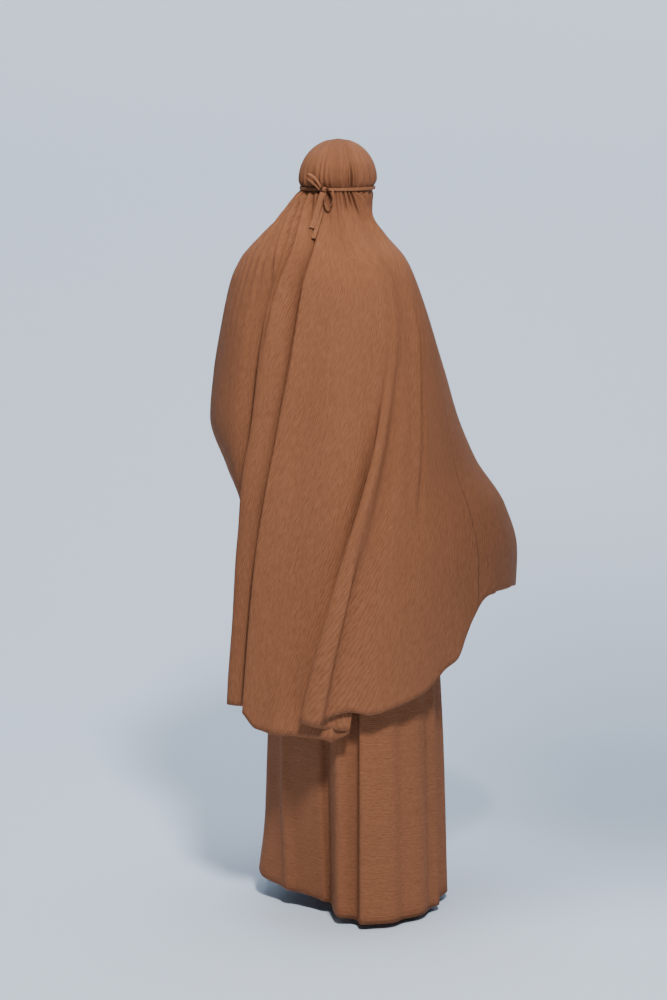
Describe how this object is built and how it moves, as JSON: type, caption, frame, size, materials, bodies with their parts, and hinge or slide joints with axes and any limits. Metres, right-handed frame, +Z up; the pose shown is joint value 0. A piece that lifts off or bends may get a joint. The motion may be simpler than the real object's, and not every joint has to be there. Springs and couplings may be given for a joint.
{
  "type": "prayer gown",
  "caption": "Two-piece prayer gown, worn and hollow: long head veil tied behind the head and lifted by both arms, over a floor-length skirt.",
  "frame": {"origin": "inside of the hood's crown, where the wearer's head holds the gown", "axes": "+Z up through the crown, the front of the gown faces -Y, the wearer's right is -X"},
  "size_m": [0.6272, 0.6278, 1.67],
  "materials": {
    "crepe": "brown crinkled crepe, matt",
    "ribbon": "brown folded ribbon of the same cloth",
    "waistband": "brown gathered elastic waistband"
  },
  "bodies": {
    "root": {"veil_back": "crepe", "veil_front": "crepe", "skirt_back": "crepe", "skirt_front": "crepe", "waistband": "waistband", "tie_left": "ribbon", "tie_right": "ribbon", "bow_knot": "ribbon", "bow_loop_left": "ribbon", "bow_loop_right": "ribbon", "bow_tail_left": "ribbon", "bow_tail_right": "ribbon"}
  },
  "joints": []
}
